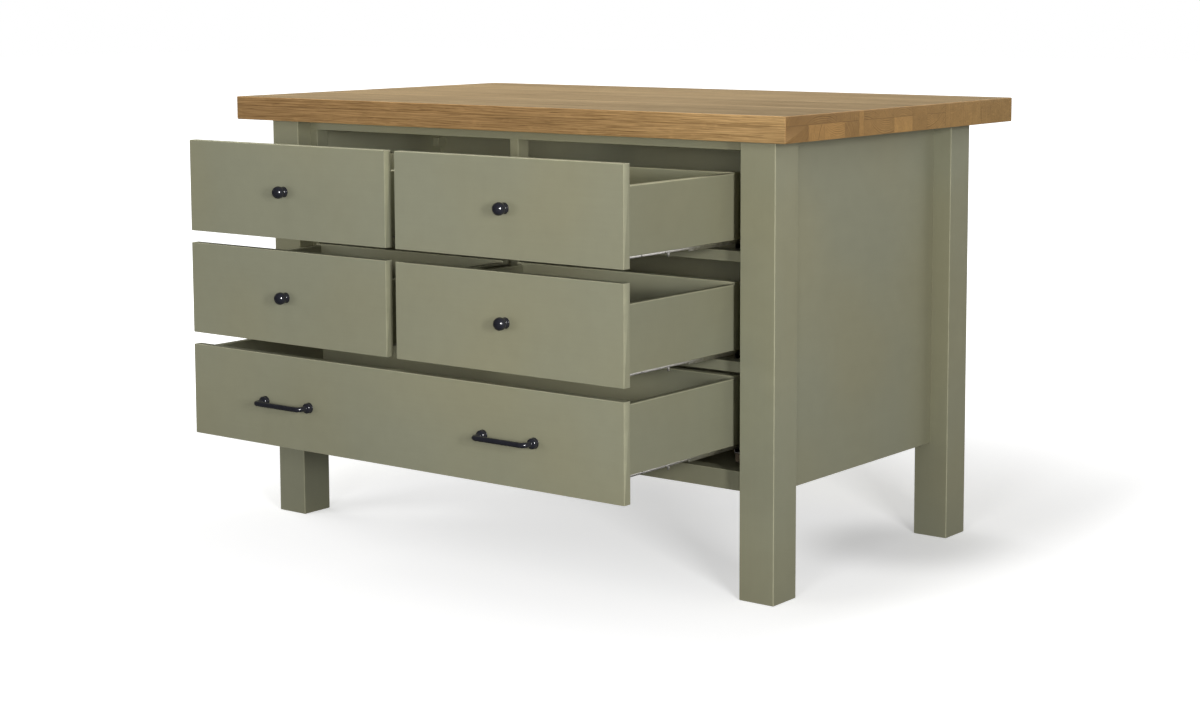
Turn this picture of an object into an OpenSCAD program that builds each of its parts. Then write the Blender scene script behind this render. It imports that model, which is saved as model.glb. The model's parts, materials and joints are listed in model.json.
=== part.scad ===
// Freestanding kitchen island: a thick oak worktop on four square legs, a painted
// carcass with an inset face frame, and five drawers that stand open on
// under-mounted telescopic runners.
// Origin on the floor, at the middle of the object's box with the drawers open.
// +X runs to the right along the front, +Y from the front to the back, +Z up.
// All sizes are in millimetres.

/* [Overall size] */
// Length of the worktop
top_w = 1400; // [1250:10:1700]
// Depth of the worktop
top_d = 850; // [800:10:1000]
// Thickness of the worktop
top_t = 49; // [30:1:60]
// Height from the floor to the top of the worktop
overall_h = 905; // [870:5:950]
// Worktop overhang past the legs at each end
side_overhang = 55; // [20:1:80]
// Worktop overhang past the front legs
front_overhang = 52; // [20:1:70]
// Worktop overhang past the back legs
back_overhang = 78; // [20:1:90]

/* [Legs and panels] */
// Width and depth of a leg
leg = 76; // [60:1:90]
// Small flat on the foot of each leg
foot_chamfer = 2; // [1:0.5:4]
// Thickness of the side and back panels
panel_t = 18; // [15:1:22]
// How far the side and back panels sit behind the outer faces of the legs
side_recess = 40; // [20:1:45]
// Height of the underside of the carcass above the floor
carcass_z = 196; // [180:1:210]
// Front face of the inner back panel, behind the worktop's front edge
inner_back_y = 524; // [500:1:560]

/* [Face frame] */
// How far the frame sits behind the front faces of the legs
frame_recess = 38; // [30:1:42]
// Depth of the frame members
frame_t = 32; // [24:1:34]
// Visible width of the side stiles
stile_w = 19; // [16:1:24]
// Width of the centre stiles
centre_w = 21; // [18:1:30]
// Height of the top rail
top_rail_h = 22; // [18:1:26]
// Height of the two mid rails
mid_rail_h = 20; // [18:1:24]
// Height of the bottom rail
bottom_rail_h = 37; // [30:1:44]

/* [Drawers] */
// Gap between a drawer front and the frame
gap = 2; // [1.5:0.5:3]
// Thickness of the drawer fronts
front_t = 18; // [16:1:20]
// Thickness of the drawer sides
side_t = 15; // [12:1:16]
// Thickness of the drawer backs
back_t = 18; // [15:1:20]
// Thickness of the drawer bases
base_t = 9; // [6:1:12]
// Length of a drawer box behind its front
box_len = 345; // [320:1:350]
// Space between a drawer side and the frame opening
side_clear = 8; // [6:1:10]
// Height of the drawer sides, top and middle rows
box_h = 123; // [110:1:126]
// Height of the drawer sides, bottom row
low_box_h = 126; // [110:1:127]
// How far each drawer stands open
travel = 361; // [200:1:361]

/* [Knobs and handles] */
// Diameter of the ball of a knob
ball_d = 24.5; // [20:0.5:30]
// Distance of the ball's centre from the drawer front
ball_y = 15.5; // [14:0.5:22]
// Diameter of the domed roses
rose_d = 21; // [18:0.5:24]
// Diameter of the handle bar
bar_d = 10; // [8:0.5:11]
// Distance between the two feet of a bar handle
bar_w = 121; // [96:1:160]
// Distance of the bar's centre line from the drawer front
bar_y = 30; // [25:1:35]

/* [Hidden] */
$fn = 48;

// Colours
paint = [0.50, 0.50, 0.40];
inner_paint = [0.44, 0.44, 0.35];
oak = [0.74, 0.52, 0.34];
pine = [0.78, 0.66, 0.47];
zinc = [0.62, 0.62, 0.60];
black = [0.05, 0.05, 0.06];
steel = [0.70, 0.70, 0.70];

// Plan positions, measured back from the worktop's front edge
reach = travel - front_overhang - frame_recess + bar_y + bar_d / 2;
mid_y = (top_d - reach) / 2;
leg_x = top_w / 2 - side_overhang;          // outer face of the legs
leg_y0 = front_overhang;                    // front face of the front legs
leg_y1 = top_d - back_overhang;             // back face of the back legs
under = overall_h - top_t;                  // underside of the worktop
in_x = leg_x - leg;                         // inner face of the legs
panel_out = leg_x - side_recess;
panel_in = panel_out - panel_t;
frame_y = leg_y0 + frame_recess;            // front face of the frame
frame_b = frame_y + frame_t;                // back face of the frame
open_x = in_x - stile_w;                    // half width of the frame opening
frame_top = under - top_rail_h;
opening_h = (frame_top - carcass_z - bottom_rail_h - 2 * mid_rail_h) / 3;
back_y = leg_y1 - side_recess - panel_t;    // front face of the outer back panel
inner_t = 12;

// Underside of each row's opening, row 0 at the top
function row_z(r) = frame_top - opening_h - r * (opening_h + mid_rail_h);

// Drawers: 0 top left, 1 top right, 2 middle left, 3 middle right, 4 bottom
function row(i) = i < 2 ? 0 : i < 4 ? 1 : 2;
function x_lo(i) = (i == 1 || i == 3) ? centre_w / 2 : -open_x;
function x_hi(i) = (i == 0 || i == 2) ? -centre_w / 2 : open_x;
function mid_x(i) = (x_lo(i) + x_hi(i)) / 2;
runner_h = 22.5;                            // bearer to the underside of a drawer side
low_lift = 52;                              // the bottom drawer's box sits higher in its opening
function box_z(i) = row_z(row(i)) + (i == 4 ? low_lift : runner_h + 1.5 * row(i));
function side_h(i) = i == 4 ? low_box_h : box_h;
function back_up(i) = i < 2 ? 1.5 : 4.5;    // the back board stands this far above the sides
function bearer_z(i) = box_z(i) - runner_h; // top face of the bearers
base_up = 3;                                // the base sits this far above the sides' lower edge
groove = 6;

// Runners
runner_len = 340;
runner_y = frame_y + front_t + 2;           // front end of the cabinet members
runner_in = 14;                             // centre line, in from the outer face of the drawer side
function runner_xs(i) = [x_lo(i) + side_clear + runner_in, x_hi(i) - side_clear - runner_in];
screw_ys = [runner_y + 40, runner_y + runner_len - 40];
bearer_w = 57;

bracket_ys = [200, 460];
bracket_l = 30;
bracket_t = 2;

module place() { translate([0, -mid_y, 0]) children(); }
module opened() { translate([0, -travel, 0]) children(); }
module half_opened() { translate([0, -travel / 2, 0]) children(); }
module block(x0, x1, y0, y1, z0, z1) { translate([x0, y0, z0]) cube([x1 - x0, y1 - y0, z1 - z0]); }

// ---- Carcass ----

module worktop() {
    color(oak) place() difference() {
        block(-top_w / 2, top_w / 2, 0, top_d, under, overall_h);
        for (s = [-1, 1], y = bracket_ys)
            translate([s * (panel_in - bracket_l / 2), y, under - 1]) cylinder(r = 1.9, h = 18);
    }
}

// Square leg with a small chamfer round its foot
module leg_at(sx, y) {
    x = sx > 0 ? in_x : -leg_x;
    color(paint) place() {
        translate([x, y, foot_chamfer]) cube([leg, leg, under - foot_chamfer]);
        translate([x + leg / 2, y + leg / 2, 0]) rotate([0, 0, 45])
            cylinder(r1 = (leg - 2 * foot_chamfer) / sqrt(2), r2 = leg / sqrt(2), h = foot_chamfer, $fn = 4);
    }
}
module leg_front_left() { leg_at(-1, leg_y0); }
module leg_front_right() { leg_at(1, leg_y0); }
module leg_back_left() { leg_at(-1, leg_y1 - leg); }
module leg_back_right() { leg_at(1, leg_y1 - leg); }

module side_panel(s) {
    color(paint) place() difference() {
        block(s > 0 ? panel_in : -panel_out, s > 0 ? panel_out : -panel_in, leg_y0 + leg, leg_y1 - leg, carcass_z, under);
        for (y = bracket_ys)
            translate([s * (panel_in - 1), y, under - bracket_l / 2]) rotate([0, s * 90, 0]) cylinder(r = 1.9, h = 15);
    }
}
module side_panel_left() { side_panel(-1); }
module side_panel_right() { side_panel(1); }

module back_panel() {
    color(paint) place() block(-in_x, in_x, back_y, back_y + panel_t, carcass_z, under);
}

module inner_back_panel() {
    color(inner_paint) place() block(-panel_in, panel_in, inner_back_y, inner_back_y + inner_t, carcass_z + panel_t, under);
}

module bottom_board() {
    color(inner_paint) place() {
        block(-panel_in, panel_in, leg_y0 + leg, leg_y1 - leg, carcass_z, carcass_z + panel_t);
        block(-in_x, in_x, frame_b, back_y, carcass_z, carcass_z + panel_t);
    }
}

// ---- Face frame ----

module top_rail() {
    color(paint) place() block(-in_x, in_x, frame_y, frame_b, frame_top, under);
}

module mid_rails() {
    color(paint) place() for (r = [0, 1])
        block(-open_x, open_x, frame_y, frame_b, row_z(r) - mid_rail_h, row_z(r));
}

module bottom_rail() {
    color(paint) place() block(-in_x, in_x, frame_y, frame_b, carcass_z, carcass_z + bottom_rail_h);
}

module side_stiles() {
    color(paint) place() for (s = [-1, 1])
        block(s > 0 ? open_x : -in_x, s > 0 ? in_x : -open_x, frame_y, frame_b, carcass_z + bottom_rail_h, frame_top);
}

module centre_stiles() {
    color(paint) place() for (r = [0, 1])
        block(-centre_w / 2, centre_w / 2, frame_y, frame_b, row_z(r), row_z(r) + opening_h);
}

// ---- Runner bearers, cabinet members and screws ----

// Where each cabinet member's screws go down: [x, y, z of the bearer's top]
function seat_list() = [for (i = [0:4], x = runner_xs(i), y = screw_ys) [x, y, bearer_z(i)]];

module runner_bearers() {
    color(pine) place() difference() {
        union() {
            for (i = [0, 2]) {
                z = bearer_z(i);
                block(-in_x, -in_x + bearer_w, frame_b, inner_back_y, z - mid_rail_h, z);
                block(-50, 50, frame_b, inner_back_y, z - mid_rail_h, z);
                block(in_x - bearer_w, in_x, frame_b, inner_back_y, z - mid_rail_h, z);
            }
            z = bearer_z(4);
            block(-in_x, -in_x + bearer_w, frame_b, inner_back_y, z - mid_rail_h, z);
            block(in_x - bearer_w, in_x, frame_b, inner_back_y, z - mid_rail_h, z);
        }
        for (p = seat_list()) translate([p[0], p[1], p[2] - 16]) cylinder(r = 1.9, h = 17);
    }
}

// Open-topped channel on the bearer
module runner_cabinet_members() {
    color(zinc) place() difference() {
        for (i = [0:4], x = runner_xs(i)) translate([x, runner_y, bearer_z(i)]) difference() {
            translate([-10.2, 0, 0]) cube([20.4, runner_len, 17.2]);
            translate([-9, -1, 1.5]) cube([18, runner_len + 2, 20]);
        }
        for (p = seat_list()) translate([p[0], p[1], p[2] - 1]) cylinder(r = 3.7, h = 4);
    }
}

// Low channel, open below, that runs between the two others, half open
module runner_middles(i) {
    color(zinc) place() half_opened() for (x = runner_xs(i)) translate([x, runner_y + 8, bearer_z(i)]) difference() {
        translate([-8.2, 0, 13.8]) cube([16.4, runner_len - 8, 6.4]);
        translate([-6.7, -1, 10]) cube([13.4, runner_len + 2, 8.7]);
    }
}
module runner_middles_top_left() { runner_middles(0); }
module runner_middles_top_right() { runner_middles(1); }
module runner_middles_middle_left() { runner_middles(2); }
module runner_middles_middle_right() { runner_middles(3); }
module runner_middles_bottom() { runner_middles(4); }

// Cap under each drawer side, with a rivet on its outer lip and a stop tab below
module runner_caps(i) {
    color(zinc) place() opened() for (k = [0, 1]) {
        s = k == 0 ? -1 : 1;
        translate([runner_xs(i)[k], frame_y + front_t + 0.5, box_z(i)]) {
            difference() {
                translate([-12, 0, -4.5]) cube([24, runner_len - 3, 4.5]);
                translate([-10.5, -1, -6]) cube([21, runner_len, 4.5]);
            }
            translate([s * 11.5, 44.5, -2.3]) rotate([0, s * 90, 0]) cylinder(r = 2.1, h = 1.6);
            translate([s > 0 ? 10.9 : -12, 120, -10.8]) cube([1.1, 7, 8]);
        }
    }
}
module drawer_top_left_runner_caps() { runner_caps(0); }
module drawer_top_right_runner_caps() { runner_caps(1); }
module drawer_middle_left_runner_caps() { runner_caps(2); }
module drawer_middle_right_runner_caps() { runner_caps(3); }
module drawer_bottom_runner_caps() { runner_caps(4); }

module corner_blocks() {
    color(inner_paint) place() for (s = [-1, 1])
        block(s > 0 ? panel_in - 16 : -panel_in, s > 0 ? panel_in : -panel_in + 16, inner_back_y - 25, inner_back_y, under - 82, under - 62);
}

module worktop_brackets() {
    color(steel) place() for (s = [-1, 1], y = bracket_ys) translate([s * panel_in, y, under]) difference() {
        union() {
            translate([s > 0 ? -bracket_l : 0, -15, -bracket_t]) cube([bracket_l, 30, bracket_t]);
            translate([s > 0 ? -bracket_t : 0, -15, -bracket_l]) cube([bracket_t, 30, bracket_l]);
        }
        translate([-s * bracket_l / 2, 0, -5]) cylinder(r = 2.1, h = 10);
        translate([-s * 5, 0, -bracket_l / 2]) rotate([0, s * 90, 0]) cylinder(r = 2.1, h = 10);
    }
}

// Flat-headed wood screw, head at the origin, pointing down
module wood_screw(head_h, shank) {
    translate([0, 0, -shank]) cylinder(r = 1.75, h = shank + head_h);
    cylinder(r = 3.5, h = head_h);
}
module carcass_screws() {
    color(steel) place() {
        for (p = seat_list()) translate([p[0], p[1], p[2]]) wood_screw(1.4, 14);
        for (s = [-1, 1], y = bracket_ys) {
            translate([s * (panel_in - bracket_l / 2), y, under - bracket_t]) mirror([0, 0, 1]) wood_screw(1.4, 16);
            translate([s * (panel_in - bracket_t), y, under - bracket_l / 2]) rotate([0, -s * 90, 0]) wood_screw(1.4, 14);
        }
    }
}

// ---- Drawers ----

// Points on a drawer front that take a bolt: [x, z]
function bolt_xs(i) = i == 4 ? [for (c = [handle_x(0), handle_x(1)], d = [-1, 1]) c + d * bar_w / 2] : [mid_x(i)];
function handle_x(k) = mid_x(k) + (k == 0 ? -2 : 5);
function grip_z(i) = row_z(row(i)) + opening_h / 2 - (i == 4 ? 4.5 : 0);

module drawer_front(i) {
    color(paint) place() opened() difference() {
        block(x_lo(i) + gap, x_hi(i) - gap, frame_y, frame_y + front_t, row_z(row(i)) + gap, row_z(row(i)) + opening_h - gap);
        for (x = bolt_xs(i)) translate([x, frame_y - 1, grip_z(i)]) rotate([-90, 0, 0]) cylinder(r = 2.3, h = front_t + 2);
    }
}

module drawer_sides(i) {
    y0 = frame_y + front_t;
    y1 = y0 + box_len - back_t;
    z0 = box_z(i);
    color(paint) place() opened() for (s = [0, 1]) {
        x0 = s == 0 ? x_lo(i) + side_clear : x_hi(i) - side_clear - side_t;
        difference() {
            block(x0, x0 + side_t, y0, y1, z0, z0 + side_h(i));
            gx = s == 0 ? x0 + side_t - groove : x0 - 1;
            block(gx, gx + groove + 1, y0 - 1, y1 + 1, z0 + base_up, z0 + base_up + base_t);
        }
    }
}

module drawer_back(i) {
    y1 = frame_y + front_t + box_len;
    color(paint) place() opened()
        block(x_lo(i) + side_clear, x_hi(i) - side_clear, y1 - back_t, y1, box_z(i), box_z(i) + side_h(i) + back_up(i));
}

module drawer_base(i) {
    y0 = frame_y + front_t;
    color(inner_paint) place() opened()
        block(x_lo(i) + side_clear + side_t - groove, x_hi(i) - side_clear - side_t + groove, y0, y0 + box_len - back_t, box_z(i) + base_up, box_z(i) + base_up + base_t);
}

// Barrel-shaped rose with a rounded shoulder, standing out along -Y from the origin
module rose(rise) {
    r = rose_d / 2;
    rotate([90, 0, 0]) {
        cylinder(r = r, h = 1.2);
        cylinder(r = r - 0.4, h = rise - 4.5);
        cylinder(r = r - 4.9, h = rise);
        translate([0, 0, rise - 4.5]) rotate_extrude() translate([r - 4.9, 0]) circle(r = 4.5);
    }
}

module knob(i) {
    color(black) place() opened() translate([mid_x(i), frame_y, grip_z(i)]) difference() {
        union() {
            rose(9);
            rotate([90, 0, 0]) cylinder(r = 5, h = ball_y);
            translate([0, -ball_y, 0]) sphere(r = ball_d / 2);
        }
        rotate([90, 0, 0]) cylinder(r = 2, h = 12);
    }
}

// U-shaped bar with rounded elbows, standing on two domed roses
module bar_handle() {
    er = 9;
    difference() {
        union() {
            for (s = [-1, 1]) translate([s * bar_w / 2, 0, 0]) {
                rose(11.5);
                rotate([90, 0, 0]) cylinder(r = bar_d / 2, h = bar_y - er);
                translate([-s * er, er - bar_y, 0]) rotate([0, 0, s > 0 ? -90 : 180])
                    rotate_extrude(angle = 90) translate([er, 0]) circle(r = bar_d / 2);
            }
            translate([er - bar_w / 2, -bar_y, 0]) rotate([0, 90, 0]) cylinder(r = bar_d / 2, h = bar_w - 2 * er);
        }
        for (s = [-1, 1]) translate([s * bar_w / 2, 1, 0]) rotate([90, 0, 0]) cylinder(r = 2, h = 13);
    }
}

module drawer_bottom_handles() {
    color(black) place() opened() for (k = [0, 1]) translate([handle_x(k), frame_y, grip_z(4)]) bar_handle();
}

// Pan-headed bolts through the drawer front, from the inside
module grip_bolts(i) {
    color(steel) place() opened() for (x = bolt_xs(i)) translate([x, frame_y + front_t, grip_z(i)]) {
        rotate([90, 0, 0]) cylinder(r = 1.9, h = front_t + 10);
        rotate([-90, 0, 0]) cylinder(r = 4.2, h = 2.4);
    }
}

module drawer_top_left_front() { drawer_front(0); }
module drawer_top_right_front() { drawer_front(1); }
module drawer_middle_left_front() { drawer_front(2); }
module drawer_middle_right_front() { drawer_front(3); }
module drawer_bottom_front() { drawer_front(4); }
module drawer_top_left_sides() { drawer_sides(0); }
module drawer_top_right_sides() { drawer_sides(1); }
module drawer_middle_left_sides() { drawer_sides(2); }
module drawer_middle_right_sides() { drawer_sides(3); }
module drawer_bottom_sides() { drawer_sides(4); }
module drawer_top_left_back() { drawer_back(0); }
module drawer_top_right_back() { drawer_back(1); }
module drawer_middle_left_back() { drawer_back(2); }
module drawer_middle_right_back() { drawer_back(3); }
module drawer_bottom_back() { drawer_back(4); }
module drawer_top_left_base() { drawer_base(0); }
module drawer_top_right_base() { drawer_base(1); }
module drawer_middle_left_base() { drawer_base(2); }
module drawer_middle_right_base() { drawer_base(3); }
module drawer_bottom_base() { drawer_base(4); }
module drawer_top_left_knob() { knob(0); }
module drawer_top_right_knob() { knob(1); }
module drawer_middle_left_knob() { knob(2); }
module drawer_middle_right_knob() { knob(3); }
module drawer_top_left_knob_bolt() { grip_bolts(0); }
module drawer_top_right_knob_bolt() { grip_bolts(1); }
module drawer_middle_left_knob_bolt() { grip_bolts(2); }
module drawer_middle_right_knob_bolt() { grip_bolts(3); }
module drawer_bottom_handle_bolts() { grip_bolts(4); }

worktop();
leg_front_left();
leg_front_right();
leg_back_left();
leg_back_right();
side_panel_left();
side_panel_right();
back_panel();
inner_back_panel();
bottom_board();
top_rail();
mid_rails();
bottom_rail();
side_stiles();
centre_stiles();
runner_bearers();
runner_cabinet_members();
corner_blocks();
worktop_brackets();
carcass_screws();
drawer_top_left_front();
drawer_top_left_sides();
drawer_top_left_back();
drawer_top_left_base();
drawer_top_left_knob();
drawer_top_left_knob_bolt();
drawer_top_left_runner_caps();
runner_middles_top_left();
drawer_top_right_front();
drawer_top_right_sides();
drawer_top_right_back();
drawer_top_right_base();
drawer_top_right_knob();
drawer_top_right_knob_bolt();
drawer_top_right_runner_caps();
runner_middles_top_right();
drawer_middle_left_front();
drawer_middle_left_sides();
drawer_middle_left_back();
drawer_middle_left_base();
drawer_middle_left_knob();
drawer_middle_left_knob_bolt();
drawer_middle_left_runner_caps();
runner_middles_middle_left();
drawer_middle_right_front();
drawer_middle_right_sides();
drawer_middle_right_back();
drawer_middle_right_base();
drawer_middle_right_knob();
drawer_middle_right_knob_bolt();
drawer_middle_right_runner_caps();
runner_middles_middle_right();
drawer_bottom_front();
drawer_bottom_sides();
drawer_bottom_back();
drawer_bottom_base();
drawer_bottom_handles();
drawer_bottom_handle_bolts();
drawer_bottom_runner_caps();
runner_middles_bottom();
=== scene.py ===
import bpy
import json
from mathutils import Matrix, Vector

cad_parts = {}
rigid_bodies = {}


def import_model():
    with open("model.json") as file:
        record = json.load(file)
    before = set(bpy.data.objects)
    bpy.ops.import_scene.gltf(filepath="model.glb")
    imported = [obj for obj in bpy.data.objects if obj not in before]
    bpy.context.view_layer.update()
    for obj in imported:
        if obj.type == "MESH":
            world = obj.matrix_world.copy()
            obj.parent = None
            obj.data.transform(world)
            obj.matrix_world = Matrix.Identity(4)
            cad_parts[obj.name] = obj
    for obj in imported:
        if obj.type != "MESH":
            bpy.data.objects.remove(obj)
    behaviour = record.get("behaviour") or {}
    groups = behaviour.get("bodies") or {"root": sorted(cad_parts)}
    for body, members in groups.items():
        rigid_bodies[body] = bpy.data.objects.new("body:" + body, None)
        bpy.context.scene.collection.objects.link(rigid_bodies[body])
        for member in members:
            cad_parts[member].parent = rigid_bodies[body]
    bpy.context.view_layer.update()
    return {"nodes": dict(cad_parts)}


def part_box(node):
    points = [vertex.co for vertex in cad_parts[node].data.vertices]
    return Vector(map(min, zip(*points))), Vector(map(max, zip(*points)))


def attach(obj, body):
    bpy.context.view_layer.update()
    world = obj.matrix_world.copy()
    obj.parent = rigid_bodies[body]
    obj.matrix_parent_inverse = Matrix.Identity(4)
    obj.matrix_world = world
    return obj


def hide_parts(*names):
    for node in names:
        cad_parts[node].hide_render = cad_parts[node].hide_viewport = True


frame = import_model()

import json
import math

import bmesh
import bpy
import numpy as np
from mathutils import Matrix, Vector

scene = bpy.context.scene
MM = 0.001

# ---------------------------------------------------------------- frame lookups


def solids(node):
    """Boxes (low corner, high corner) of a CAD node's separate solids, ordered by x, then y, then z."""
    me = frame["nodes"][node].data
    keys, ids = {}, []
    for v in me.vertices:
        k = tuple(round(c, 5) for c in v.co)
        ids.append(keys.setdefault(k, len(keys)))
    points = np.array(list(keys), float)
    root = list(range(len(keys)))

    def find(a):
        while root[a] != a:
            root[a] = root[root[a]]
            a = root[a]
        return a

    for p in me.polygons:
        a = find(ids[p.vertices[0]])
        for v in p.vertices[1:]:
            b = find(ids[v])
            if a != b:
                root[b] = a
    groups = {}
    for i in range(len(keys)):
        groups.setdefault(find(i), []).append(i)
    boxes = []
    for members in groups.values():
        c = points[members]
        boxes.append((Vector(c.min(0)), Vector(c.max(0))))
    return sorted(boxes, key=lambda b: tuple(round(c, 4) for c in b[0]))


# ---------------------------------------------------------------- mesh helpers


def new_bm():
    bm = bmesh.new()
    bm.verts.layers.float.new("arris")
    return bm


def rounded(pts, radii, seg):
    """A closed outline with rounded corners: [(point, outward offset direction, 1 inside a rounding)]."""
    pts = [Vector(p) for p in pts]
    radii = list(radii)
    n = len(pts)
    area = sum(
        pts[i].x * pts[(i + 1) % n].y - pts[(i + 1) % n].x * pts[i].y for i in range(n)
    )
    if area < 0:
        pts.reverse()
        radii.reverse()
    out = []
    for i in range(n):
        p = pts[i]
        d1 = (p - pts[i - 1]).normalized()
        d2 = (pts[(i + 1) % n] - p).normalized()
        turn = math.atan2(d1.x * d2.y - d1.y * d2.x, d1.dot(d2))
        r = radii[i]
        if r <= 0 or abs(turn) < 1e-6:
            m = Vector((d1.y + d2.y, -d1.x - d2.x)).normalized()
            out.append((p, m / max(0.3, math.cos(turn / 2)), 0.0))
            continue
        side = 1 if turn > 0 else -1
        start = p - d1 * (r * math.tan(abs(turn) / 2))
        centre = start + Vector((-d1.y, d1.x)) * (r * side)
        arm = start - centre
        for k in range(seg + 1):
            a = turn * k / seg
            ca, sa = math.cos(a), math.sin(a)
            q = Vector((arm.x * ca - arm.y * sa, arm.x * sa + arm.y * ca))
            out.append((centre + q, q * (side / r), 1.0 if 0 < k < seg else 0.0))
    return out


def extrude(bm, pts, radii, axis, a0, a1, e0=0.4 * MM, e1=None, seg=3, end_seg=2):
    """Adds an outline drawn along an axis, its corners rounded by radii and its two ends by e0 and e1."""
    e1 = e0 if e1 is None else e1
    lay = bm.verts.layers.float["arris"]
    prof = rounded(pts, radii, seg)
    n = len(prof)

    def ends(a, e, sign):
        if e <= 0:
            return [(a, 0.0, 0.0)]
        out = []
        for k in range(end_seg + 1):
            t = math.pi / 2 * k / end_seg
            soft = 1.0 if 0 < k < end_seg else 0.0
            out.append((a + sign * e * (1 - math.cos(t)), e * (1 - math.sin(t)), soft))
        return out

    rings = []
    for pos, inset, soft in ends(a0, e0, 1) + ends(a1, e1, -1)[::-1]:
        ring = []
        for q, m, w in prof:
            u, v = q - m * inset
            co = ((pos, u, v), (u, pos, v), (u, v, pos))[axis]
            vert = bm.verts.new(co)
            vert[lay] = max(w, soft)
            ring.append(vert)
        rings.append(ring)
    for r0, r1 in zip(rings, rings[1:]):
        for i in range(n):
            j = (i + 1) % n
            bm.faces.new((r0[i], r0[j], r1[j], r1[i]))
    bm.faces.new(rings[0])
    bm.faces.new(rings[-1])


def board(bm, lo, hi, axis, r=1.5 * MM, e=0.4 * MM, seg=3, end_seg=2, radii=None, e1=None):
    """Adds a solid board whose grain runs along axis, with its long edges rounded by r and its ends by e."""
    u, v = [k for k in range(3) if k != axis]
    pts = [(lo[u], lo[v]), (hi[u], lo[v]), (hi[u], hi[v]), (lo[u], hi[v])]
    extrude(bm, pts, radii or [r] * 4, axis, lo[axis], hi[axis], e, e1, seg, end_seg)


def sweep(bm, rings, n=48):
    """Adds a closed round form from (centre, u, v, radius) rings; a radius of 0 is a pole."""
    prev = None
    for c, u, v, r in rings:
        if r <= 0:
            cur = [bm.verts.new(c)]
        else:
            cur = [
                bm.verts.new(c + (u * math.cos(t) + v * math.sin(t)) * r)
                for t in (2 * math.pi * k / n for k in range(n))
            ]
        if prev is not None:
            for i in range(n):
                j = (i + 1) % n
                if len(prev) == 1:
                    bm.faces.new((prev[0], cur[i], cur[j]))
                elif len(cur) == 1:
                    bm.faces.new((prev[i], prev[j], cur[0]))
                else:
                    bm.faces.new((prev[i], prev[j], cur[j], cur[i]))
        prev = cur


def lathe(bm, profile, origin, out, n=48):
    """Adds a turned form: profile is [(radius, distance along out)]."""
    out = Vector(out).normalized()
    u = out.orthogonal().normalized()
    v = out.cross(u)
    origin = Vector(origin)
    sweep(bm, [(origin + out * d, u, v, r) for r, d in profile], n)


def piece(name, bm, material, node, body, sharp=50, weighted=True):
    """Makes the mesh object that stands for a CAD node and rides on its body."""
    bmesh.ops.recalc_face_normals(bm, faces=bm.faces[:])
    me = bpy.data.meshes.new(name)
    bm.to_mesh(me)
    bm.free()
    return dress(name, me, material, node, body, sharp, weighted)


def dress(name, me, material, node, body, sharp=50, weighted=True):
    me.materials.clear()
    me.materials.append(material)
    me.polygons.foreach_set("use_smooth", [True] * len(me.polygons))
    me.set_sharp_from_angle(angle=math.radians(sharp))
    ob = bpy.data.objects.new(name, me)
    scene.collection.objects.link(ob)
    if weighted:
        mod = ob.modifiers.new("face_normals", "WEIGHTED_NORMAL")
        mod.keep_sharp = True
        mod.weight = 60
    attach(ob, body)
    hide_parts(node)
    return ob


def cut(bm, cutter, solver="EXACT"):
    """Takes the closed forms in cutter out of those in bm, and gives the result as a mesh."""
    out = []
    for b in (bm, cutter):
        bmesh.ops.recalc_face_normals(b, faces=b.faces[:])
        me = bpy.data.meshes.new("blank")
        b.to_mesh(me)
        b.free()
        ob = bpy.data.objects.new("blank", me)
        scene.collection.objects.link(ob)
        out.append(ob)
    mod = out[0].modifiers.new("holes", "BOOLEAN")
    mod.operation = "DIFFERENCE"
    mod.solver = solver
    mod.object = out[1]
    dg = bpy.context.evaluated_depsgraph_get()
    me = bpy.data.meshes.new_from_object(out[0].evaluated_get(dg))
    for ob in out:
        old = ob.data
        bpy.data.objects.remove(ob)
        bpy.data.meshes.remove(old)
    return me


def rod(bm, a, b, r, n=24):
    """Adds a plain round bar from a to b, for a hole."""
    a, b = Vector(a), Vector(b)
    d = b - a
    lathe(bm, [(0, 0), (r, 0), (r, d.length), (0, d.length)], a, d, n)


def slot_hole(bm, centre, half_len, r, z0, z1, n=10):
    """Adds an upright form with round ends, long along y, for a slot."""
    x, y = centre
    ring = []
    for k in range(2 * n + 2):
        t = math.pi * (k if k <= n else k - 1) / n
        s = 1 if k <= n else -1
        ring.append((x + r * math.cos(t), y + s * half_len + r * math.sin(t)))
    low = [bm.verts.new((u, v, z0)) for u, v in ring]
    top = [bm.verts.new((u, v, z1)) for u, v in ring]
    for i in range(len(ring)):
        j = (i + 1) % len(ring)
        bm.faces.new((low[i], low[j], top[j], top[i]))
    bm.faces.new(low)
    bm.faces.new(top)


def face_values(me, name, kind, values):
    """Writes one value for each face, which the shader reads by name."""
    layer = me.attributes.new(name, kind, "FACE")
    key = "vector" if kind == "FLOAT_VECTOR" else "value"
    layer.data.foreach_set(key, np.array(values, np.float32).ravel())


# ---------------------------------------------------------------- shader helpers


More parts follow.
